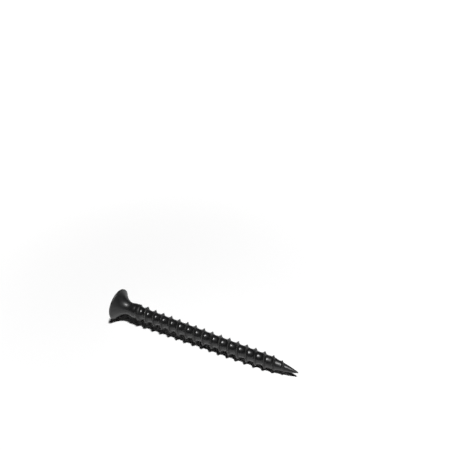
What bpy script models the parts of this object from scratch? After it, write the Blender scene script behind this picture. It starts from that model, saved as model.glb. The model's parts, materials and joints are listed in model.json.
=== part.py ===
"""A black drywall screw, number 8 by 2 inches, lying on its side as it comes to rest.

It is one piece of steel: a flat bugle head with a cross recess, a plain neck under the flare,
a deep single right-hand thread rolled into the shank, and a sharp conical point.

The screw is made upright, its head's face at height zero and its point straight down, and is
then laid down. In the scene +Z is up, +X runs from the head to the point, and the origin is at
the middle of the screw's shadow, on the surface that the screw lies on.
"""

import math

import bmesh
import bpy
import numpy as np
from mathutils import Matrix

MM = 0.001

# Head and neck
overall_length = 50.8 * MM
head_diameter = 8.4 * MM
rim_round = 0.12 * MM
rim_land = 0.42 * MM
flare_length = 3.6 * MM
neck_diameter = 3.36 * MM

# Thread
major_diameter = 4.2 * MM
root_diameter = 2.88 * MM
thread_pitch = 2.36 * MM
crest_width = 0.1 * MM
flank_angle = math.radians(28)
root_fillet = 0.25 * MM
crest_place = 20.65 * MM

# Start of the thread: a shoulder that the rolling dies have pushed up, and the stretch over
# which they bite down from it to the full depth and press the wide crest to its final width
shoulder_diameter = 4.3 * MM
shoulder_rise = 1.1 * MM
shoulder_length = 1.3 * MM
start_length = 2.9 * MM
start_crest_width = 1.2 * MM
start_flank_angle = math.radians(48)
crest_forming = 6.4 * MM

# Point, where a fullness of 1 would be a straight cone and less is rounder
point_length = 6.6 * MM
point_fullness = 0.67
thread_taper = 8.9 * MM
bare_point = 2.6 * MM

# Cross recess for a number 2 driver
recess_span = 4.9 * MM
recess_wing = 1.12 * MM
recess_core = 2.6 * MM
recess_depth = 2.35 * MM
recess_floor_span = 2.6 * MM
recess_floor_wing = 0.86 * MM
recess_floor_core = 1.9 * MM
recess_floor_dip = 0.3 * MM
recess_wing_round = 0.16 * MM
recess_corner_reach = 0.3
recess_turn = math.radians(20)

# Fineness of the solid
facets = 36
rim_steps = 2
flare_rings = 9
point_rings = 5
weld_distance = 0.02 * MM
cut_overrun = 0.4 * MM
sharp_edge = math.radians(30)

# Rows of the thread's outline, in pitches from the middle of its crest
crest_row = 0.05
foot_row = 0.2
toe_row = 0.35
land_row = 0.5

# How far the foot and toe rows stand from the corner that the fillet rounds, in fillets, and
# the least distance that they keep from each other and from the land row
foot_reach = 0.4
toe_reach = 0.8
row_gap = 0.12 * MM

# What follows from the sizes above
rim_radius = head_diameter / 2
neck_radius = neck_diameter / 2
major_radius = major_diameter / 2
root_radius = root_diameter / 2
shoulder_radius = shoulder_diameter / 2
thread_depth = major_radius - root_radius
thread_start = rim_land + flare_length
thread_end = overall_length - bare_point


def clear_scene():
    for obj in list(bpy.data.objects):
        bpy.data.objects.remove(obj, do_unlink=True)


def new_collection(name):
    collection = bpy.data.collections.new(name)
    bpy.context.scene.collection.children.link(collection)
    return collection


def black_phosphate():
    """Dark grey conversion coating on steel, with a faint sheen of oil."""
    material = bpy.data.materials.new("black phosphate")
    material.use_nodes = True
    shader = material.node_tree.nodes["Principled BSDF"]
    shader.inputs["Base Color"].default_value = (0.022, 0.022, 0.023, 1.0)
    shader.inputs["Metallic"].default_value = 0.75
    shader.inputs["Roughness"].default_value = 0.38
    return material


def turn_outline(name, outline, rise_per_turn=0.0, turns=1):
    """Spins an outline of (radius, height) points about Z, with a rise for a thread."""
    mesh = bpy.data.meshes.new(name)
    points = [(radius, 0.0, height) for radius, height in outline]
    edges = [(i, i + 1) for i in range(len(points) - 1)]
    mesh.from_pydata(points, edges, [])
    obj = bpy.data.objects.new(name, mesh)
    bpy.context.scene.collection.objects.link(obj)
    spin = obj.modifiers.new("spin", "SCREW")
    spin.axis = "Z"
    spin.angle = 2 * math.pi
    spin.steps = facets
    spin.render_steps = facets
    spin.iterations = turns
    spin.screw_offset = rise_per_turn
    spin.use_merge_vertices = rise_per_turn == 0.0
    spin.merge_threshold = weld_distance
    depsgraph = bpy.context.evaluated_depsgraph_get()
    surface = bpy.data.meshes.new_from_object(obj.evaluated_get(depsgraph))
    bpy.data.objects.remove(obj, do_unlink=True)
    return surface


def head_outline():
    """The rounded edge of the face, the rim and the bugle flare, a parabola into the neck."""
    outline = []
    for step in range(rim_steps + 1):
        turn = math.radians(90) * step / rim_steps
        radius = rim_radius - rim_round * (1 - math.sin(turn))
        outline.append((radius, -rim_round * (1 - math.cos(turn))))
    outline.append((rim_radius, -rim_land))
    for ring in range(1, flare_rings + 1):
        way_down = ring / flare_rings
        radius = neck_radius + (rim_radius - neck_radius) * (1 - way_down) ** 2
        outline.append((radius, -rim_land - way_down * flare_length))
    return outline


def point_radius(left):
    """The point's radius at a distance from the tip, a little fuller than a cone's."""
    return root_radius * (np.maximum(left, 0.0) / point_length) ** point_fullness


def point_outline():
    """The bare point below the thread, in rings that get closer towards the tip."""
    outline = []
    for ring in range(point_rings + 1):
        left = bare_point * (1 - ring / point_rings) ** 1.5
        outline.append((float(point_radius(left)), left - overall_length))
    return outline


def smooth_step(value, start, end):
    """Rises smoothly from 0 at the start to 1 at the end."""
    t = np.clip((value - start) / (end - start), 0.0, 1.0)
    return t * t * (3 - 2 * t)


def bite(along):
    """How deep the thread is cut, from 0 on the shoulder to 1 where it is fully formed."""
    start = thread_start + shoulder_length
    return smooth_step(along, start, start + start_length)


def core_radius(along):
    """The shank between the crests: neck, shoulder, root and point, by distance from the face."""
    raised = smooth_step(along, thread_start, thread_start + shoulder_rise)
    shoulder = neck_radius + (shoulder_radius - neck_radius) * raised
    shank = shoulder + (root_radius - shoulder) * bite(along)
    return np.minimum(shank, point_radius(overall_length - along))


def thread_height(along):
    """The crest's height over the shank, from nothing at the shoulder to nothing on the point."""
    fade = np.clip((thread_end - along) / (thread_taper - bare_point), 0.0, 1.0)
    return thread_depth * bite(along) * fade


def crest_shape(along):
    """Half the crest's width and the lean of its flanks, both half-formed near the neck."""
    formed = smooth_step(along, thread_start, thread_start + crest_forming)
    half_crest = (start_crest_width + (crest_width - start_crest_width) * formed) / 2
    lean = start_flank_angle + (flank_angle - start_flank_angle) * formed
    return half_crest, lean


def fillet_width(along):
    """The fillet's width, which shrinks with the crest's height."""
    return root_fillet * thread_height(along) / thread_depth


def flank_lift(aside, along):
    """How far a flank stands over the shank, at a distance aside from the crest's middle.

    It is the larger of the flank's straight level and zero, rounded by the fillet: their mean,
    plus half the root of the squared level and the squared fillet.
    """
    half_crest, lean = crest_shape(along)
    fillet = fillet_width(along)
    level = thread_height(along) - (aside - half_crest) / np.tan(lean)
    return (level + np.sqrt(level * level + fillet * fillet)) / 2


def thread_turns():
    """Whole turns that cover the threaded length with a turn to spare at each end."""
    above = math.ceil((crest_place - thread_start) / thread_pitch) + 1
    below = math.ceil((thread_end - crest_place) / thread_pitch) + 1
    return above, below


def thread_sleeve():
    """The threaded shank, as one pitch of outline swept along the helix and then formed.

    The outline has seven rows for each pitch: both edges of the crest, the foot and the toe of
    each flank's fillet, and the middle of the land between two crests. The sweep carries the
    rows round, and each point then gets the radius and the spacing that the thread has at its
    own distance from the head. Rows above the neck or below the thread's end fall together on
    the ring there.
    """
    above, below = thread_turns()
    lowest_crest = -crest_place - thread_pitch * below
    half_rows = (land_row, toe_row, foot_row, crest_row)
    rows = half_rows + tuple(-row for row in reversed(half_rows))
    outline = [(major_radius, lowest_crest + thread_pitch * row) for row in rows]
    sleeve = turn_outline("thread", outline, thread_pitch, above + below + 1)

    points = np.empty(len(sleeve.vertices) * 3)
    sleeve.vertices.foreach_get("co", points)
    points = points.reshape(-1, 3)
    angle = np.arctan2(points[:, 1], points[:, 0])
    pitches = (points[:, 2] + crest_place) / thread_pitch - angle / (2 * math.pi)
    crest = np.round(pitches)
    row = np.abs(pitches - crest)
    on_crest = row < (crest_row + foot_row) / 2
    on_foot = row < (foot_row + toe_row) / 2
    on_toe = row < (toe_row + land_row) / 2
    crest_along = crest_place - thread_pitch * (crest + angle / (2 * math.pi))

    half_crest, lean = crest_shape(crest_along)
    corner = half_crest + thread_height(crest_along) * np.tan(lean)
    fillet = fillet_width(crest_along)
    half_pitch = thread_pitch / 2
    foot = np.clip(corner - foot_reach * fillet, half_crest, half_pitch - 2 * row_gap)
    toe = np.clip(corner + toe_reach * fillet, foot + row_gap, half_pitch - row_gap)
    aside = np.select((on_crest, on_foot, on_toe), (half_crest, foot, toe), half_pitch)
    along = crest_along - np.sign(pitches - crest) * aside
    along = np.clip(along, thread_start, thread_end)

    lift = np.where(on_crest, thread_height(along), flank_lift(aside, along))
    radius = core_radius(along) + lift
    formed_points = np.column_stack((radius * np.cos(angle), radius * np.sin(angle), -along))
    sleeve.vertices.foreach_set("co", formed_points.ravel())
    return sleeve


def screw_body():
    """Head, threaded shank and point, welded ring to ring into one closed surface."""
    body = bmesh.new()
    pieces = (
        turn_outline("head", head_outline()),
        thread_sleeve(),
        turn_outline("point", point_outline()),
    )
    for piece in pieces:
        body.from_mesh(piece)
        bpy.data.meshes.remove(piece)
    bmesh.ops.remove_doubles(body, verts=body.verts, dist=weld_distance)
    face_edges = [edge for edge in body.edges if edge.is_boundary]
    bmesh.ops.holes_fill(body, edges=face_edges, sides=0)
    bmesh.ops.recalc_face_normals(body, faces=body.faces)
    mesh = bpy.data.meshes.new("drywall_screw")
    body.to_mesh(mesh)
    body.free()
    mesh.shade_smooth()
    mesh.set_sharp_from_angle(angle=sharp_edge)
    return mesh


def recess_section(half_span, half_wing, half_core, height):
    """A cross outline with cut wing tips, and blunt inner corners where wings meet the core."""
    corner = half_core * math.cos(math.radians(45))
    inner = half_core + (half_span - half_core) * recess_corner_reach
    tip = half_wing - recess_wing_round
    shoulder = half_span - recess_wing_round
    quarter = (
        (shoulder, -half_wing),
        (half_span, -tip),
        (half_span, tip),
        (shoulder, half_wing),
        (inner, half_wing),
        (corner, corner),
        (half_wing, inner),
    )
    points = []
    for turn in range(4):
        angle = recess_turn + math.radians(90) * turn
        for x, y in quarter:
            across = x * math.cos(angle) - y * math.sin(angle)
            up = x * math.sin(angle) + y * math.cos(angle)
            points.append((across, up, height))
    return points


def recess_at(depth):
    """The recess's outline at a depth: each size narrows evenly from the face to the floor."""
    share = depth / recess_depth
    span = recess_span + (recess_floor_span - recess_span) * share
    wing = recess_wing + (recess_floor_wing - recess_wing) * share
    core = recess_core + (recess_floor_core - recess_core) * share
    return recess_section(span / 2, wing / 2, core / 2, -depth)


def recess_cutter(collection):
    """A closed loft from above the face to the recess's floor, which dips to a shallow cone."""
    mouth = recess_at(-cut_overrun)
    floor = recess_at(recess_depth)
    count = len(mouth)
    bottom = (0.0, 0.0, -recess_depth - recess_floor_dip)
    points = mouth + floor + [bottom]
    faces = [tuple(range(count))]
    for i in range(count):
        following = (i + 1) % count
        faces.append((following, i, count + i, count + following))
        faces.append((count + following, count + i, 2 * count))
    mesh = bpy.data.meshes.new("recess cutter")
    mesh.from_pydata(points, [], faces)
    cutter = bpy.data.objects.new("recess cutter", mesh)
    cutter.hide_render = True
    cutter.display_type = "WIRE"
    collection.objects.link(cutter)
    return cutter


def resting_tilt(points, down):
    """The dip of the shank when the rim and the lowest crest touch one flat surface."""
    along = -points[:, 2]
    drop = points[:, :2] @ down
    rim_drop = drop[along < rim_land + weld_distance].max()
    beyond = along > rim_land + weld_distance
    slopes = (rim_drop - drop[beyond]) / (along[beyond] - rim_land)
    return math.atan(slopes.min())


def lay_down(screw):
    """Lays the screw on a facet of its rim, point towards +X, with its shadow on the origin."""
    points = np.empty(len(screw.data.vertices) * 3)
    screw.data.vertices.foreach_get("co", points)
    points = points.reshape(-1, 3)
    half_facet = math.pi / facets
    down = np.array((-math.cos(half_facet), math.sin(half_facet)))
    tilt = resting_tilt(points, down)
    turn = Matrix.Rotation(tilt - math.pi / 2, 4, "Y") @ Matrix.Rotation(half_facet, 4, "Z")
    laid = points @ np.array(turn.to_3x3()).T
    low = laid.min(axis=0)
    high = laid.max(axis=0)
    middle = (low + high) / 2
    screw.matrix_world = Matrix.Translation((-middle[0], -middle[1], -low[2])) @ turn


def build():
    clear_scene()
    parts = new_collection("drywall screw")
    cutters = new_collection("cutters")
    screw = bpy.data.objects.new("drywall_screw", screw_body())
    parts.objects.link(screw)
    screw.data.materials.append(black_phosphate())
    cutter = recess_cutter(cutters)
    cutter.parent = screw
    cut = screw.modifiers.new("recess", "BOOLEAN")
    cut.operation = "DIFFERENCE"
    cut.solver = "EXACT"
    cut.object = cutter
    lay_down(screw)


build()
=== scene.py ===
# %% [markdown]
# # A black drywall screw, lying on a white table
# The real object is one piece of hardened steel: a flat bugle head with a cross recess, a short
# plain neck, a deep single thread and a sharp point, all under a black phosphate coating. This
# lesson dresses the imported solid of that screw. The solid is right in form but faceted, so one
# smooth skin stands for it, worked out with numpy from the same sizes as the solid.

import json
import math

import bmesh
import bpy
import numpy as np
from mathutils import Matrix, Quaternion, Vector


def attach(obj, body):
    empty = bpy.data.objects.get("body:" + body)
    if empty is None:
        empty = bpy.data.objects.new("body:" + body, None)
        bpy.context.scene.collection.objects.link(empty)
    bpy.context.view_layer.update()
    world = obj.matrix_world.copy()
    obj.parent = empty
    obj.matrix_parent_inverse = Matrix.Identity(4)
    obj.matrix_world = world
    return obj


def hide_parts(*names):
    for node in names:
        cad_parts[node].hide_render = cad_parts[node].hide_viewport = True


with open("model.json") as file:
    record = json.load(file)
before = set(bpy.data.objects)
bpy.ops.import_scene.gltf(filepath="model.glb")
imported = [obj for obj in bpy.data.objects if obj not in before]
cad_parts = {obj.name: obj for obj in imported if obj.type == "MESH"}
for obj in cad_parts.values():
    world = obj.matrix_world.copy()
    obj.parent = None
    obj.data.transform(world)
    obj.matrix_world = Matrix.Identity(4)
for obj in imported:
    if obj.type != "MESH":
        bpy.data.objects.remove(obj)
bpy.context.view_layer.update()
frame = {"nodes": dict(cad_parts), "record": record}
solid = frame["nodes"]["drywall_screw"]

# %% [markdown]
# ## Where the screw lies
# The screw was laid down by its own sizes, so it dips a little towards its point. The frame holds
# all that is needed to find it again: the head's face is a mount, whose axis is the screw's axis,
# and the tip is the solid's furthest corner along +X. Everything below is made upright, with the
# face at height zero and the point straight down, and is then carried over by one matrix.

# %% Find the axis and the tip
MM = 0.001

overall_length = 50.8 * MM
face_mount = frame["record"]["mounts"][0]
out_of_face = Vector(face_mount["axis"]).normalized()
corners = np.empty(len(solid.data.vertices) * 3)
solid.data.vertices.foreach_get("co", corners)
corners = corners.reshape(-1, 3)
tip = Vector(corners[corners[:, 0].argmax()])
face_centre = tip + out_of_face * overall_length
across = Vector((0.0, 1.0, 0.0))
upward = across.cross(out_of_face)
lay_down = Matrix((upward, across, out_of_face)).transposed()
print("tip at", tip[:], "face centre at", face_centre[:])

# %% [markdown]
# ## Sizes
# These are the solid's own sizes, in the same words, but for the shoulder, which is drawn slimmer
# and softer here, and the crest, which keeps more of its height on the point before it fades.
# The solid lies on one of its flat facets, so a round skin of the full radius would dip under the
# table there. Every radius is therefore taken to the middle of a facet and a hair less, which is
# under half a percent in all.

# %% Name the sizes
facets = 36
half_facet = math.pi / facets
hair_less = 0.9995
snug = math.cos(half_facet) * hair_less

rim_radius = 4.2 * MM
rim_land = 0.42 * MM
flare_length = 3.6 * MM
neck_radius = 1.68 * MM
shoulder_radius = 1.93 * MM
shoulder_rise = 1.5 * MM
shoulder_length = 1.3 * MM
major_radius = 2.1 * MM
root_radius = 1.44 * MM
thread_pitch = 2.36 * MM
crest_width = 0.1 * MM
flank_angle = math.radians(28)
crest_place = 20.65 * MM
start_length = 2.9 * MM
start_crest_width = 1.2 * MM
start_flank_angle = math.radians(48)
crest_forming = 6.4 * MM
point_length = 6.6 * MM
point_fullness = 0.67
thread_taper = 8.9 * MM
crest_hold = 2.0
bare_point = 2.6 * MM

thread_depth = major_radius - root_radius
thread_start = rim_land + flare_length
thread_end = overall_length - bare_point

mid_shank = overall_length / 2

around = 128
angles = np.arange(around) * 2 * math.pi / around
print("thread runs from", round(thread_start / MM, 2), "to", round(thread_end / MM, 2), "mm")

# %% [markdown]
# ## The shank under the thread
# A thread roller squeezes a plain blank: what it pushes out of the root stands up as the crest,
# and some of it is driven up the shank, where it stays as a round shoulder behind the neck.
# Two curves along the screw hold this. One is the core: neck, shoulder, root, and the point,
# which is a little fuller than a cone. The other is the crest's height over the core, which
# grows as the dies bite and fades out before the bare tip.

# %% Core and crest along the screw
def smooth_step(value, start, end):
    """Goes from 0 at the start to 1 at the end, as 3 t squared less 2 t cubed."""
    t = np.clip((value - start) / (end - start), 0.0, 1.0)
    return t * t * (3 - 2 * t)


def mix(first, second, share):
    """The first value where the share is 0, the second where it is 1."""
    return first + (second - first) * share


def bite(along):
    """0 on the shoulder, 1 where the thread has its full depth."""
    start = thread_start + shoulder_length
    return smooth_step(along, start, start + start_length)


def point_radius(left):
    """The root's radius times the share of the point that is left, raised to its fullness."""
    return root_radius * (np.maximum(left, 0.0) / point_length) ** point_fullness


def core_radius(along):
    """Neck blends into shoulder, shoulder into root, and the point cuts all down to nothing."""
    raised = smooth_step(along, thread_start, thread_start + shoulder_rise)
    shank = mix(mix(neck_radius, shoulder_radius, raised), root_radius, bite(along))
    return np.minimum(shank, point_radius(overall_length - along))


def thread_height(along):
    """The full depth times the bite and the fade: x, the share left, plus hold x (1 - x)^3."""
    left = np.clip((thread_end - along) / (thread_taper - bare_point), 0.0, 1.0)
    fade = left + crest_hold * left * (1 - left) ** 3
    return thread_depth * bite(along) * fade


print("crest stands", round(float(thread_height(mid_shank)) / MM, 2), "mm over the root")

# %% [markdown]
# ## The ridge's cross-section
# Across the thread the outline is a flat crest, two leaning flanks and a land. Joined with hard
# corners it would look cut. A smooth minimum rounds the crest's edges, and a smooth maximum puts
# the fillet where a flank runs into the land. Both are the same small formula: the mean of two
# levels, plus or minus half the root of their squared difference and a squared blend width.

# %% Outline of one ridge
crest_blend = 0.22 * MM
foot_blend = 0.43 * MM


def blend(first, second, width, sign):
    """Half the sum, plus or minus half the root of the squared gap and the squared width."""
    gap = first - second
    return (first + second + sign * np.sqrt(gap * gap + width * width)) / 2


def ridge_lift(aside, along):
    """The lift over the core: the height, less what is past the crest's half width over tan lean.

    The level is then rounded against the crest from above and against the land from below.
    """
    formed = smooth_step(along, thread_start, thread_start + crest_forming)
    half_crest = mix(start_crest_width, crest_width, formed) / 2
    lean = mix(start_flank_angle, flank_angle, formed)
    height = thread_height(along)
    level = height - (np.abs(aside) - half_crest) / np.tan(lean)
    softness = height / thread_depth
    topped = blend(level, height, crest_blend * softness, -1)
    return blend(topped, 0.0, foot_blend * softness, 1)


print("lift at the crest", round(float(ridge_lift(0.0, mid_shank)) / MM, 3), "mm")

# %% [markdown]
# ## The threaded shank as one ribbon
# The thread is a ribbon one pitch wide that winds up the screw. Its columns go round by equal
# angles and its rows follow the helix, so every crest is one clean line of edges. One more strip
# of quads joins the last row of each column to the first row of the column one turn back, which
# closes the ribbon on itself. Where the ribbon leaves the threaded length, its rows fall together
# on a ring, and welding makes that ring the seam to the neck or the cone.
#
# The dies don't close evenly, so the crest's height wavers: three sine waves of unrelated rates
# are added up. Two masks go with the points. One is on the crests, where the coating rubs thin
# and where a lighter grey also stands in for their lit edge, a painted highlight. The other is on
# the flanks, where it paints shade. Both are read from the share of the full depth at which a
# point stands.

# %% Wind the ribbon
rows = 24
row_bias = 1.5
crest_waver = 0.012 * MM
waver_waves = ((2.7, 0), (7.1, 1), (17.3, 2))
edge_from, edge_full = 0.8, 0.9
# Share of painted shade, and of added roughness, that the thread's flanks get.
flank_shade_share = 0.9
flank_from, flank_full = 0.3, 0.5
flank_top, flank_end = 0.75, 0.9


def thread_rows():
    """Row places in half pitches from the crest: evenly spaced values, raised to a power."""
    even = np.linspace(-1, 1, rows, endpoint=False)
    return np.sign(even) * np.abs(even) ** row_bias


def thread_ribbon():
    """Points at core plus lift from the axis, and the values of edge and flank at each of them."""
    below = math.ceil((thread_end - crest_place) / thread_pitch) + 1
    above = math.ceil((crest_place - thread_start) / thread_pitch) + 1
    columns = np.arange((below + above) * around)
    angle = columns * 2 * math.pi / around
    crest_along = crest_place + thread_pitch * (below - columns / around)
    aside = thread_rows() * thread_pitch / 2
    along = np.clip(crest_along[:, None] + aside, thread_start, thread_end)
    lift = ridge_lift(aside, along)
    crest = lift / thread_depth
    waver = sum(np.sin(angle * rate + phase) for rate, phase in waver_waves)
    lift = lift - crest_waver * (waver[:, None] / len(waver_waves) + 1) / 2 * crest
    radius = snug * (core_radius(along) + lift)
    turned = angle[:, None] + half_facet
    points = np.stack((radius * np.cos(turned), radius * np.sin(turned), -along), axis=-1)
    edge = np.clip((crest - edge_from) / (edge_full - edge_from), 0.0, 1.0)
    # The flank value paints shade on the thread's flanks.
    flank = smooth_step(crest, flank_from, flank_full) * smooth_step(crest, flank_end, flank_top)
    return points, edge, flank * flank_shade_share


ribbon, ribbon_edge, ribbon_flank_shade = thread_ribbon()
print("ribbon of", ribbon.shape[0], "columns by", ribbon.shape[1], "rows")

# %% [markdown]
# ## The cross recess
# A punch drives the recess: four wings that get narrower and shorter with depth, round a core
# that keeps their inner corners blunt. The outline starts as straight runs, one quarter of it
# turned to make the others. It is walked at even steps, and each point is then replaced by the
# mean of its neighbours, which rounds every corner by about the width of that mean.

# %% Outline of the recess
recess_depth = 2.35 * MM
recess_dip = 0.3 * MM
recess_turn = math.radians(20)
recess_parts = ("span", "wing", "core")
mouth = {"span": 4.9 * MM, "wing": 1.12 * MM, "core": 2.6 * MM}
floor_cross = {"span": 2.6 * MM, "wing": 0.86 * MM, "core": 1.9 * MM}
wing_round = 0.16 * MM
corner_reach = 0.3
corner_round = 0.1 * MM
fine_steps = 1024


def even_walk(path, count):
    """Points at equal steps along a closed path, by interpolating on its running length."""
    closed = np.vstack((path, path[:1]))
    lengths = np.linalg.norm(np.diff(closed, axis=0), axis=1)
    running = np.concatenate(([0.0], np.cumsum(lengths)))
    stops = np.arange(count) * running[-1] / count
    return np.stack([np.interp(stops, running, closed[:, k]) for k in (0, 1)], axis=1)


def recess_outline(depth, grow=0.0):
    """The cross at a depth, rounded, and grown outwards by a little at the mouth."""
    share = depth / recess_depth
    span, wing, core = (
        mix(mouth[part], floor_cross[part], share) / 2 + grow for part in recess_parts
    )
    corner = core * math.cos(math.radians(45))
    inner = core + (span - core) * corner_reach
    tip_edge, wing_end = wing - wing_round, span - wing_round
    quarter = np.array(
        (
            (span, 0), (span, tip_edge), (wing_end, wing), (inner, wing), (corner, corner),
            (wing, inner), (wing, wing_end), (tip_edge, span),
        )
    )
    quarter_turn = np.array(((0, 1), (-1, 0)))
    arms = [quarter]
    for arm in range(3):
        arms.append(arms[-1] @ quarter_turn)
    walk = even_walk(np.vstack(arms), fine_steps)
    step = np.linalg.norm(walk[1] - walk[0])
    reach = max(1, round(corner_round / step))
    smooth = sum(np.roll(walk, k, axis=0) for k in range(-reach, reach + 1)) / (2 * reach + 1)
    cross = even_walk(smooth, around)
    turned = recess_turn + half_facet
    spin = np.array(
        ((math.cos(turned), -math.sin(turned)), (math.sin(turned), math.cos(turned)))
    )
    return np.roll(cross @ spin.T, round(recess_turn / (2 * math.pi) * around), axis=0)


print("recess outline has", len(recess_outline(0.0)), "points")

# %% [markdown]
# ## The head and the neck as a stack of rings
# Every ring has as many points as the ribbon has columns in a turn, so rings of any shape join
# point to point. The stack starts at the middle of the recess's floor, climbs its walls, rounds
# its mouth, crosses the face, rounds the rim and runs down the flare to the neck.

# %% Make one ring
mouth_round = 0.07 * MM
rim_round = 0.14 * MM
under_round = 0.08 * MM


def ring(radius, along):
    """A circle at a distance from the face: radius times cosine and sine of even angles."""
    turned = angles + half_facet
    radius = snug * radius
    height = np.full(around, -along)
    return np.column_stack((radius * np.cos(turned), radius * np.sin(turned), height))


def cross_ring(depth, height, shrink=1.0, grow=0.0):
    """The recess's outline at a depth, drawn in towards the axis where it is the floor."""
    outline = recess_outline(depth, grow) * shrink
    return np.column_stack((outline, np.full(around, height)))


print("each ring has", len(ring(rim_radius, 0.0)), "points")

# %% Stack the head's rings
floor_shrinks = (0.25, 0.5, 0.75, 0.92)
fillet_shrink = 0.985
fillet_rise = 0.03 * MM
fillet_height = 0.09 * MM
wall_rings = 9
mouth_turns = (18, 36, 54, 72, 90)
face_steps = 9
rim_turns = (0, 15, 30, 45, 60, 75, 90)
flare_steps = 30
flare_bias = 1.2


def recess_rings():
    """The dipped floor, a small fillet round it, the walls and the rounded mouth."""
    rings = []
    for shrink in floor_shrinks:
        rings.append(cross_ring(recess_depth, -recess_depth - recess_dip * (1 - shrink), shrink))
    rings.append(cross_ring(recess_depth, -recess_depth + fillet_rise, fillet_shrink))
    for depth in np.linspace(recess_depth - fillet_height, mouth_round, wall_rings):
        rings.append(cross_ring(depth, -depth))
    for turn in np.radians(mouth_turns):
        grow = mouth_round * (1 - math.cos(turn))
        rings.append(cross_ring(mouth_round, -mouth_round * (1 - math.sin(turn)), 1.0, grow))
    return rings


def face_rings(inner, outer):
    """Rings between the mouth and the rim, each a mix of the two, closer near both."""
    shares = smooth_step(np.linspace(0, 1, face_steps)[1:-1], 0.0, 1.0)
    return [mix(inner, outer, share) for share in shares]


def rim_rings():
    """A quarter round from the face to the rim, and the land down to the round under it."""
    rings = []
    for turn in np.radians(rim_turns):
        radius = rim_radius - rim_round * (1 - math.sin(turn))
        rings.append(ring(radius, rim_round * (1 - math.cos(turn))))
    rings.append(ring(rim_radius, rim_land - under_round))
    return rings


def flare_radius(along):
    """The neck's radius plus the rest times the squared share of the flare that is left."""
    left = 1 - (along - rim_land) / flare_length
    return neck_radius + (rim_radius - neck_radius) * left * left


def flare_rings():
    """Rings down the flare to the neck. The first is set lower, for the round under the rim."""
    places = rim_land + flare_length * np.linspace(0, 1, flare_steps) ** flare_bias
    places[0] = rim_land + under_round / 4
    return [ring(flare_radius(along), along) for along in places]


recess = recess_rings()
rim = rim_rings()
flare = flare_rings()
head = np.array(recess + face_rings(recess[-1], rim[0]) + rim + flare)
print("head stack of", len(head), "rings")

# %% [markdown]
# ## The point
# Below the last of the thread the point is bare. The dies pinch it off, which leaves it fuller
# than a cone, and its curve gets steep only at the very tip. The rings get closer there.

# %% Stack the point's rings
point_steps = 16


def point_rings():
    """Rings down the point, at squared shares of its bare length from the tip."""
    shares = (1 - np.arange(1, point_steps) / point_steps) ** 2
    return [ring(point_radius(left), overall_length - left) for left in bare_point * shares]


point = np.array(point_rings())
print("point stack of", len(point), "rings")

# %% [markdown]
# ## One closed skin
# Three sheets of quads and two fans of triangles make the screw. Each sheet's faces come from its
# grid of point numbers, turned so that they face outwards. Welding then joins the sheets on
# their shared rings and drops the quads that had fallen flat.

# %% Number the faces
def sheet_faces(grid):
    """Quads between the rows of a grid of point numbers, whose columns close round."""
    beside = np.roll(grid, -1, axis=1)
    quads = np.stack((grid[:-1], grid[1:], beside[1:], beside[:-1]), axis=-1)
    return quads.reshape(-1, 4).tolist()


def ribbon_faces(grid):
    """Quads along the ribbon, and the seam where a turn meets the turn below it."""
    strip = np.stack((grid[:-1, :-1], grid[:-1, 1:], grid[1:, 1:], grid[1:, :-1]), axis=-1)
    last = grid[around:, -1]
    first = grid[:-around, 0]
    seam = np.stack((last[:-1], first[:-1], first[1:], last[1:]), axis=-1)
    return strip.reshape(-1, 4).tolist() + seam.reshape(-1, 4).tolist()


def fan_faces(loop, centre, outward):
    """Triangles from a ring to a point, turned the other way where the fan faces down."""
    following = np.roll(loop, -1)
    middle = np.full(len(loop), centre)
    order = (middle, loop, following) if outward else (middle, following, loop)
    return np.stack(order, axis=-1).tolist()


two_rings = np.arange(2 * around).reshape(2, around)
print("a sheet between two rings has", len(sheet_faces(two_rings)), "quads")

# %% [markdown]
# ## Where the finish changes, and where light and shade are painted
# Three values are kept at each point for the finish. The edge value is 1 along the crests and a
# little less on the rim and round the mouth of the recess, where handling rubs the coating thin;
# the lighter grey it brings is partly that wear and partly a painted highlight on the crests.
# The hollow value is 1 on the floor of the recess and nearly so on the thread's flanks: it paints
# shade there as a darker black, and makes those places rougher. The rolled value is 1 where the
# dies have burnished the steel, and 0 on the forged head, its neck and the pinched point.

# %% Join the sheets into the skin
weld_distance = 0.003 * MM
burnish_length = 2.5 * MM
pinch_start = overall_length - point_length
mouth_rub = 0.7
rim_rub = 0.8


def head_values():
    """Edge values and painted-shade hollow values for each ring of the head's stack."""
    heights = head[:, 0, 2]
    # Painted shade, deepest on the recess's floor.
    hollow_shade = np.clip(-heights[: len(recess)] / recess_depth, 0.0, 1.0)
    edge = np.zeros(len(head))
    edge[len(recess) - len(mouth_turns) + 1 : len(recess) + 1] = mouth_rub
    rim_from = len(head) - len(flare) - len(rim)
    edge[rim_from : rim_from + len(rim) + 1] = rim_rub
    hollow_shade = np.concatenate((hollow_shade, np.zeros(len(head) - len(hollow_shade))))
    return np.repeat(edge, around), np.repeat(hollow_shade, around)


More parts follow.
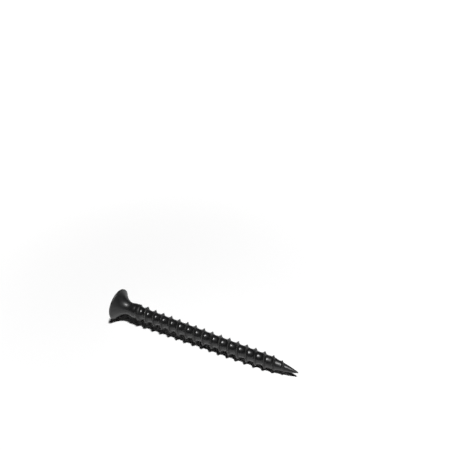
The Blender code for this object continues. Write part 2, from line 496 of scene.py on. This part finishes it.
def screw_skin():
    """Every point and face of the screw, laid down where the solid lies, and the three values."""
    ring_end = ring(core_radius(np.array(thread_end)), thread_end)
    cone = np.concatenate((ring_end[None], point))
    pieces = (head.reshape(-1, 3), ribbon.reshape(-1, 3), cone.reshape(-1, 3))
    starts = np.cumsum([0] + [len(piece) for piece in pieces])
    floor_middle = np.array(((0.0, 0.0, -recess_depth - recess_dip),))
    tip_point = np.array(((0.0, 0.0, -overall_length),))
    points = np.vstack(pieces + (floor_middle, tip_point))

    head_grid = starts[0] + np.arange(len(pieces[0])).reshape(-1, around)
    ribbon_grid = starts[1] + np.arange(len(pieces[1])).reshape(-1, rows)
    cone_grid = starts[2] + np.arange(len(pieces[2])).reshape(-1, around)
    faces = sheet_faces(head_grid) + ribbon_faces(ribbon_grid) + sheet_faces(cone_grid)
    faces += fan_faces(head_grid[0], starts[3], True)
    faces += fan_faces(cone_grid[-1], starts[3] + 1, False)

    head_edge, head_shade = head_values()
    bare = np.zeros(len(pieces[2]) + 2)
    edge = np.concatenate((head_edge, ribbon_edge.ravel(), bare))
    hollow_shade = np.concatenate((head_shade, ribbon_flank_shade.ravel(), bare))
    # Full painted shade at the middle of the recess's floor.
    hollow_shade[starts[3]] = 1.0
    along = -points[:, 2]
    rolled = smooth_step(along, thread_start, thread_start + burnish_length)
    rolled *= smooth_step(along, pinch_start, pinch_start - burnish_length)
    placed = points @ np.array(lay_down).T + np.array(face_centre)
    return placed, faces, {"edge": edge, "hollow_shade": hollow_shade, "rolled": rolled}


def make_mesh(name, points, faces, values):
    """A mesh with named point values, its doubles welded and its loose points dropped."""
    mesh = bpy.data.meshes.new(name)
    mesh.from_pydata(points.tolist(), [], faces)
    for key, column in values.items():
        mesh.attributes.new(key, "FLOAT", "POINT").data.foreach_set("value", column)
    body = bmesh.new()
    body.from_mesh(mesh)
    bmesh.ops.remove_doubles(body, verts=body.verts, dist=weld_distance)
    loose = [vert for vert in body.verts if not vert.link_faces]
    bmesh.ops.delete(body, geom=loose, context="VERTS")
    open_edges = sum(not edge.is_manifold for edge in body.edges)
    print(name, "has", len(body.faces), "faces,", open_edges, "open edges, volume",
          round(body.calc_volume(signed=True) / MM ** 3, 1), "cubic mm")
    body.to_mesh(mesh)
    body.free()
    return mesh


smooth_below = math.radians(40)

points, faces, values = screw_skin()
screw = bpy.data.objects.new("screw_skin", make_mesh("screw_skin", points, faces, values))
bpy.context.scene.collection.objects.link(screw)
screw.data.shade_smooth()
screw.data.set_sharp_from_angle(angle=smooth_below)
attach(screw, "root")
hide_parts("drywall_screw")

# %% [markdown]
# ## Helpers for node trees
# Each finish below is a small tree. These helpers keep its making short: one adds a node and sets
# its plain values, one starts a group with named sockets, and one places a group in a material.

# %% Node helpers
def add_node(tree, kind, values=None, **settings):
    """Adds a node, sets its properties by name, and its inputs by name or by number."""
    node = tree.nodes.new(kind)
    for key, value in settings.items():
        setattr(node, key, value)
    for key, value in (values or {}).items():
        node.inputs[key].default_value = value
    return node


def new_group(name, inputs, outputs):
    """A shader group with named sockets. Returns the tree and its two ends."""
    tree = bpy.data.node_groups.new(name, "ShaderNodeTree")
    for label, kind in inputs:
        tree.interface.new_socket(label, in_out="INPUT", socket_type=kind)
    for label, kind in outputs:
        tree.interface.new_socket(label, in_out="OUTPUT", socket_type=kind)
    return tree, add_node(tree, "NodeGroupInput"), add_node(tree, "NodeGroupOutput")


def place_group(tree, group, values):
    """Puts a group into a material's tree with its own values."""
    return add_node(tree, "ShaderNodeGroup", values, node_tree=group)


VECTOR = "NodeSocketVector"
FLOAT = "NodeSocketFloat"
print("node helpers ready")

# %% [markdown]
# ## Phosphate grain
# The coating is a felt of tiny crystals. From close up they give the black a dry sparkle, and
# from a step away they only blur its shine. One group makes them: fine noise for the crystals,
# broader noise for the cloudy way that the bath takes on steel.

# %% Group for the grain
def grain_group():
    """Crystals from fine noise and clouds from broad noise, both from 0 to 1."""
    tree, start, end = new_group(
        "phosphate grain",
        (("Vector", VECTOR), ("Crystal Scale", FLOAT), ("Cloud Scale", FLOAT)),
        (("Crystals", FLOAT), ("Clouds", FLOAT)),
    )
    fine = add_node(tree, "ShaderNodeTexNoise", {"Detail": 3.0, "Roughness": 0.7})
    broad = add_node(tree, "ShaderNodeTexNoise", {"Detail": 4.0, "Roughness": 0.6})
    join = tree.links.new
    join(start.outputs["Vector"], fine.inputs["Vector"])
    join(start.outputs["Crystal Scale"], fine.inputs["Scale"])
    join(start.outputs["Vector"], broad.inputs["Vector"])
    join(start.outputs["Cloud Scale"], broad.inputs["Scale"])
    join(fine.outputs["Fac"], end.inputs["Crystals"])
    join(broad.outputs["Fac"], end.inputs["Clouds"])
    return tree


grain = grain_group()
print("made group", grain.name)

# %% [markdown]
# ## Rubbed edges and painted crest highlights
# A screw is tumbled, oiled and poured into its box. The coating stays black, but on the crests,
# the rim and the mouth of the recess it is rubbed thin and shines more. The lighter grey that this
# mask brings is partly that wear and partly a painted highlight along the lit crests. The group
# breaks up the edge value with noise, so the rub comes and goes along an edge.

# %% Group for the rubbed edges
patch_from, patch_full = 0.35, 0.65


def wear_and_glint_group():
    """Noise stretched to full contrast, times the edge value, times the amount."""
    tree, start, end = new_group(
        "rubbed edges",
        (("Vector", VECTOR), ("Edge", FLOAT), ("Patch Scale", FLOAT), ("Amount", FLOAT)),
        (("Wear And Glint", FLOAT),),
    )
    patches = add_node(tree, "ShaderNodeTexNoise", {"Detail": 3.0})
    spread = add_node(
        tree, "ShaderNodeMapRange", {"From Min": patch_from, "From Max": patch_full}, clamp=True
    )
    on_edge = add_node(tree, "ShaderNodeMath", operation="MULTIPLY")
    scaled = add_node(tree, "ShaderNodeMath", operation="MULTIPLY", use_clamp=True)
    join = tree.links.new
    join(start.outputs["Vector"], patches.inputs["Vector"])
    join(start.outputs["Patch Scale"], patches.inputs["Scale"])
    join(patches.outputs["Fac"], spread.inputs["Value"])
    join(spread.outputs["Result"], on_edge.inputs[0])
    join(start.outputs["Edge"], on_edge.inputs[1])
    join(on_edge.outputs["Value"], scaled.inputs[0])
    join(start.outputs["Amount"], scaled.inputs[1])
    join(scaled.outputs["Value"], end.inputs["Wear And Glint"])
    return tree


wear_and_glint = wear_and_glint_group()
print("made group", wear_and_glint.name)

# %% [markdown]
# ## Oiled black phosphate
# The finish is a dark, nearly neutral grey with a satin shine. It isn't a bare metal: the crystals
# and the oil on them reflect only a few percent, more at a glancing angle, which a dielectric
# shader does by itself. The rolled length is a little smoother than the forged head. Rubbed edges
# are smoother still and a shade lighter, which is partly wear and partly a painted highlight on
# the crests. The recess and the thread's flanks are rougher, and their colour is darkened with
# painted shade. Each of these three adds its own change to the roughness.

# %% Material for the screw
coating_index = 1.52
deep_black = (0.006, 0.006, 0.0062, 1)
soft_black = (0.01, 0.01, 0.0103, 1)
# Lighter edge grey: partly wear, partly a painted highlight along the lit crests.
worn_and_lit_grey = (0.08, 0.08, 0.079, 1)
# Painted shade: the darker black in the recess and on the thread's flanks.
painted_shade_black = (0.003, 0.003, 0.003, 1)
crystal_scale = 14000.0
crystal_height = 0.006 * MM
crystal_relief = 0.25
cloud_scale = 900.0
cloud_from, cloud_full = 0.3, 0.7
satin_low, satin_high = 0.38, 0.46
patch_scale = 1500.0
wear_and_glint_amount = 0.8
rolled_change = -0.12
rubbed_change = -0.05
hollow_change = 0.25


def black_phosphate():
    """Grain, edge wear and painted light feed the colour, roughness and bump of a Principled shader.
    """
    material = bpy.data.materials.new("black phosphate")
    material.use_nodes = True
    tree = material.node_tree
    shader = tree.nodes["Principled BSDF"]
    shader.inputs["IOR"].default_value = coating_index
    place = add_node(tree, "ShaderNodeTexCoord")
    edge_value = add_node(tree, "ShaderNodeAttribute", attribute_name="edge")
    hollow_shade_value = add_node(tree, "ShaderNodeAttribute", attribute_name="hollow_shade")
    rolled_value = add_node(tree, "ShaderNodeAttribute", attribute_name="rolled")
    crystals = place_group(tree, grain, {"Crystal Scale": crystal_scale, "Cloud Scale": cloud_scale})
    edge_wear_glint = place_group(tree, wear_and_glint, {"Patch Scale": patch_scale, "Amount": wear_and_glint_amount})
    tone = add_node(tree, "ShaderNodeMix", {"A": deep_black, "B": soft_black}, data_type="RGBA")
    # Lightens the worn edges; on the crests this is partly a painted highlight.
    worn_and_lit = add_node(tree, "ShaderNodeMix", {"B": worn_and_lit_grey}, data_type="RGBA")
    # Darkens the recess and the thread's flanks with painted shade.
    shaded = add_node(tree, "ShaderNodeMix", {"B": painted_shade_black}, data_type="RGBA")
    satin = add_node(
        tree, "ShaderNodeMapRange",
        {"From Min": cloud_from, "From Max": cloud_full,
         "To Min": satin_low, "To Max": satin_high},
    )
    burnished = add_node(tree, "ShaderNodeMath", {1: rolled_change}, operation="MULTIPLY_ADD")
    smoother = add_node(tree, "ShaderNodeMath", {1: rubbed_change}, operation="MULTIPLY_ADD")
    drier = add_node(tree, "ShaderNodeMath", {1: hollow_change}, operation="MULTIPLY_ADD")
    relief = add_node(
        tree, "ShaderNodeBump", {"Strength": crystal_relief, "Distance": crystal_height}
    )
    join = tree.links.new
    join(place.outputs["Object"], crystals.inputs["Vector"])
    join(place.outputs["Object"], edge_wear_glint.inputs["Vector"])
    join(edge_value.outputs["Fac"], edge_wear_glint.inputs["Edge"])
    join(crystals.outputs["Clouds"], tone.inputs["Factor"])
    join(tone.outputs["Result"], worn_and_lit.inputs["A"])
    join(edge_wear_glint.outputs["Wear And Glint"], worn_and_lit.inputs["Factor"])
    join(worn_and_lit.outputs["Result"], shaded.inputs["A"])
    join(hollow_shade_value.outputs["Fac"], shaded.inputs["Factor"])
    join(shaded.outputs["Result"], shader.inputs["Base Color"])
    join(crystals.outputs["Clouds"], satin.inputs["Value"])
    join(rolled_value.outputs["Fac"], burnished.inputs[0])
    join(satin.outputs["Result"], burnished.inputs[2])
    join(edge_wear_glint.outputs["Wear And Glint"], smoother.inputs[0])
    join(burnished.outputs["Value"], smoother.inputs[2])
    join(hollow_shade_value.outputs["Fac"], drier.inputs[0])
    join(smoother.outputs["Value"], drier.inputs[2])
    join(drier.outputs["Value"], shader.inputs["Roughness"])
    join(crystals.outputs["Crystals"], relief.inputs["Height"])
    join(relief.outputs["Normal"], shader.inputs["Normal"])
    return material


screw.data.materials.append(black_phosphate())
print("screw dressed in", screw.data.materials[0].name)

# %% [markdown]
# ## The table
# The screw lies on a plain white surface that fills the view. It is a flat sheet of low gloss, and
# it keeps the screw's shadow, which does much to show how the screw rests on its rim and crest.
# The lamp is near, so far parts of the sheet would turn grey. A mask by distance adds a white
# glow there, only for the rays that look at the table, so that no more light falls on the screw.

# %% Floor
floor_reach = 3.0
table_colour = (0.92, 0.92, 0.92, 1)
table_roughness = 0.7
table_gloss = 0.2
glow_from = 25 * MM
glow_to = 260 * MM


def seen_rays(tree):
    """1 for rays from the camera and for mirrored or refracted rays, 0 for rays that light."""
    rays = add_node(tree, "ShaderNodeLightPath")
    seen = rays.outputs["Is Camera Ray"]
    for name in ("Is Glossy Ray", "Is Transmission Ray"):
        either = add_node(tree, "ShaderNodeMath", operation="MAXIMUM")
        tree.links.new(seen, either.inputs[0])
        tree.links.new(rays.outputs[name], either.inputs[1])
        seen = either.outputs["Value"]
    return seen


def white_table():
    """A square sheet at height zero with a matt white finish and a glow far from the screw."""
    mesh = bpy.data.meshes.new("table")
    corners = np.array(((-1, -1, 0), (1, -1, 0), (1, 1, 0), (-1, 1, 0))) * floor_reach
    mesh.from_pydata(corners.tolist(), [], [(0, 1, 2, 3)])
    table = bpy.data.objects.new("table", mesh)
    bpy.context.scene.collection.objects.link(table)
    material = bpy.data.materials.new("white table")
    material.use_nodes = True
    tree = material.node_tree
    shader = tree.nodes["Principled BSDF"]
    shader.inputs["Base Color"].default_value = table_colour
    shader.inputs["Roughness"].default_value = table_roughness
    shader.inputs["Specular IOR Level"].default_value = table_gloss
    shader.inputs["Emission Strength"].default_value = 1.0
    place = add_node(tree, "ShaderNodeTexCoord")
    distance = add_node(tree, "ShaderNodeVectorMath", operation="LENGTH")
    far = add_node(
        tree, "ShaderNodeMapRange", {"From Min": glow_from, "From Max": glow_to},
        interpolation_type="SMOOTHSTEP",
    )
    glow = add_node(tree, "ShaderNodeMath", operation="MULTIPLY")
    tree.links.new(place.outputs["Object"], distance.inputs[0])
    tree.links.new(distance.outputs["Value"], far.inputs["Value"])
    tree.links.new(far.outputs["Result"], glow.inputs[0])
    tree.links.new(seen_rays(tree), glow.inputs[1])
    tree.links.new(glow.outputs["Value"], shader.inputs["Emission Color"])
    mesh.materials.append(material)
    return table


table = white_table()
print("table laid at height zero")

# %% [markdown]
# ## Light
# One small high lamp makes the bright dots along the thread and the crisp shadow under the screw.
# It stands so near that the shadow's direction changes from the head to the tip, so it is a disc
# at a real place and not a sun. The room round it is dark, so the shank shows a dark band where
# it mirrors the room and a grey band where it mirrors the table. Rays from the camera see white
# beyond the table, and mirrored rays see it near the horizon.

# %% Lamp and room
lamp_place = Vector((90.0, -62.0, 468.0)) * MM
lamp_width = 53 * MM
lamp_power = 2.6
room_glow = 0.012
horizon_height = 0.08


def overhead_lamp():
    """A disc lamp that faces the screw."""
    lamp = bpy.data.lights.new("overhead lamp", "AREA")
    lamp.shape = "DISK"
    lamp.size = lamp_width
    lamp.energy = lamp_power
    holder = bpy.data.objects.new("overhead lamp", lamp)
    holder.location = lamp_place
    holder.rotation_mode = "QUATERNION"
    holder.rotation_quaternion = (-lamp_place).to_track_quat("-Z", "Y")
    bpy.context.scene.collection.objects.link(holder)
    return holder


def dark_room():
    """A dim world, white for camera rays, and for mirrored rays near the horizon."""
    world = bpy.data.worlds.new("room")
    bpy.context.scene.world = world
    world.use_nodes = True
    tree = world.node_tree
    background = tree.nodes["Background"]
    background.inputs["Color"].default_value = (1, 1, 1, 1)
    place = add_node(tree, "ShaderNodeTexCoord")
    split = add_node(tree, "ShaderNodeSeparateXYZ")
    horizon = add_node(
        tree, "ShaderNodeMapRange",
        {"From Min": 0.0, "From Max": horizon_height, "To Min": 1.0, "To Max": room_glow},
        interpolation_type="SMOOTHSTEP",
    )
    rays = add_node(tree, "ShaderNodeLightPath")
    white = add_node(tree, "ShaderNodeMath", operation="MAXIMUM")
    shown = add_node(tree, "ShaderNodeMath", operation="MULTIPLY")
    strength = add_node(tree, "ShaderNodeMath", {1: room_glow}, operation="MAXIMUM")
    join = tree.links.new
    join(place.outputs["Generated"], split.inputs["Vector"])
    join(split.outputs["Z"], horizon.inputs["Value"])
    join(horizon.outputs["Result"], white.inputs[0])
    join(rays.outputs["Is Camera Ray"], white.inputs[1])
    join(white.outputs["Value"], shown.inputs[0])
    join(seen_rays(tree), shown.inputs[1])
    join(shown.outputs["Value"], strength.inputs[0])
    join(strength.outputs["Value"], background.inputs["Strength"])
    return world


overhead_lamp()
dark_room()
scene = bpy.context.scene
scene.view_settings.view_transform = "Standard"
print("lit by one lamp in a dark room")

# %% [markdown]
# ## Camera
# The view is from in front of the screw and 33 degrees up, with the head at the left and the point
# coming forward to the right. The camera looks past the screw at a spot on the table behind it,
# because the screw lies in the lower left of the picture.

# %% Camera
camera_height_angle = math.radians(33.035)
camera_turn = math.radians(24.0)
camera_roll = math.radians(0.777)
camera_distance = 183.0 * MM
camera_target = Vector((-17.99, 53.45, 0.0)) * MM
picture_width = 450
focal_pixels = 531.6
sensor_width = 36.0
near_clip = 10 * MM


def aim_camera():
    """Stands the camera back from its target along the view and rolls it a little."""
    flat = math.cos(camera_height_angle)
    view = Vector(
        (-math.sin(camera_turn) * flat, math.cos(camera_turn) * flat,
         -math.sin(camera_height_angle))
    )
    data = bpy.data.cameras.new("camera")
    data.sensor_width = sensor_width
    data.lens = focal_pixels * sensor_width / picture_width
    data.clip_start = near_clip
    camera = bpy.data.objects.new("camera", data)
    roll = Quaternion((0.0, 0.0, 1.0), camera_roll)
    camera.rotation_mode = "QUATERNION"
    camera.rotation_quaternion = view.to_track_quat("-Z", "Y") @ roll
    camera.location = camera_target - view * camera_distance
    bpy.context.scene.collection.objects.link(camera)
    bpy.context.scene.camera = camera
    return camera


camera = aim_camera()
print("camera at", [round(v / MM, 1) for v in camera.location], "mm")
